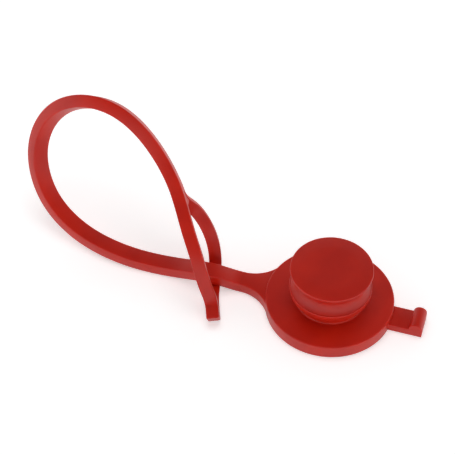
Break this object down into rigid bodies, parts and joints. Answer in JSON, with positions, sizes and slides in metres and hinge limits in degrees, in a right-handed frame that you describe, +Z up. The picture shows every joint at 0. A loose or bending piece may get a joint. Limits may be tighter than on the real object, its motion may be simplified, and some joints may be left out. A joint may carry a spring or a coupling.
{
  "type": "coupling protection plug with strap",
  "caption": "Soft moulded dust plug with a waisted head, flange, pull tab and a flat strap that forms a noose through its own eye.",
  "frame": {"origin": "centre of the flange, on its flat underside, on the plug's axis", "axes": "+Z up along the plug's axis, +X towards the pull tab, the strap leaves along -X"},
  "size_m": [0.128, 0.042, 0.0473],
  "materials": {
    "soft_plastic": "satin"
  },
  "bodies": {
    "root": {"protection_cap": "soft_plastic"}
  },
  "joints": []
}
